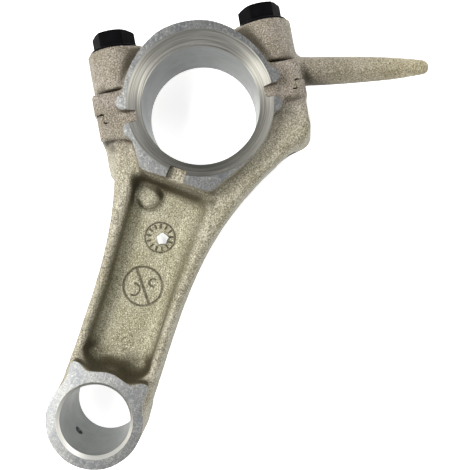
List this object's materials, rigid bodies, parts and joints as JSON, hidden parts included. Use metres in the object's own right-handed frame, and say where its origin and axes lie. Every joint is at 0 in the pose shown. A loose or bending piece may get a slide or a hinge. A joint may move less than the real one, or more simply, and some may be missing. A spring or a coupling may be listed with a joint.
{
  "type": "connecting rod",
  "caption": "Aluminium engine connecting rod with an angled split big end, bolted cap with an oil dipper finger, I-section shank and plain small end bore.",
  "frame": {"origin": "centre of the crank pin bore, midway between the two thrust faces", "axes": "+X from the crank pin bore to the piston pin bore, +Z along the crank pin bore, +Y across the rod, towards the side that carries the oil dipper"},
  "size_m": [0.1303, 0.0879, 0.025],
  "materials": {
    "cast_aluminium": "shot-blasted die casting, warm grey, with fly-cut faces and smooth bored and chamfered bores",
    "black_steel": "black oxide, slightly oily"
  },
  "bodies": {
    "rod": {"rod_body": "cast_aluminium"},
    "cap": {"rod_cap": "cast_aluminium"},
    "plain_bolt": {"cap_bolt_plain_side": "black_steel"},
    "dipper_bolt": {"cap_bolt_dipper_side": "black_steel"}
  },
  "joints": [
    {"name": "cap_lift", "type": "slide", "parent": "rod", "child": "cap", "axis": [-0.8746, -0.4848, 0], "range_m": [0, 0.016]},
    {"name": "plain_bolt_turn", "type": "hinge", "parent": "cap", "child": "plain_bolt", "pos_m": [0.0097, -0.01749, 0], "axis": [-0.8746, -0.4848, 0], "range_deg": [0, 5760]},
    {"name": "dipper_bolt_turn", "type": "hinge", "parent": "cap", "child": "dipper_bolt", "pos_m": [-0.0097, 0.01749, 0], "axis": [-0.8746, -0.4848, 0], "range_deg": [0, 5760]}
  ],
  "couplings": [
    {"joint": "plain_bolt_turn", "follows": "cap_lift", "rad_per_m": 6283.2},
    {"joint": "dipper_bolt_turn", "follows": "cap_lift", "rad_per_m": 6283.2}
  ]
}
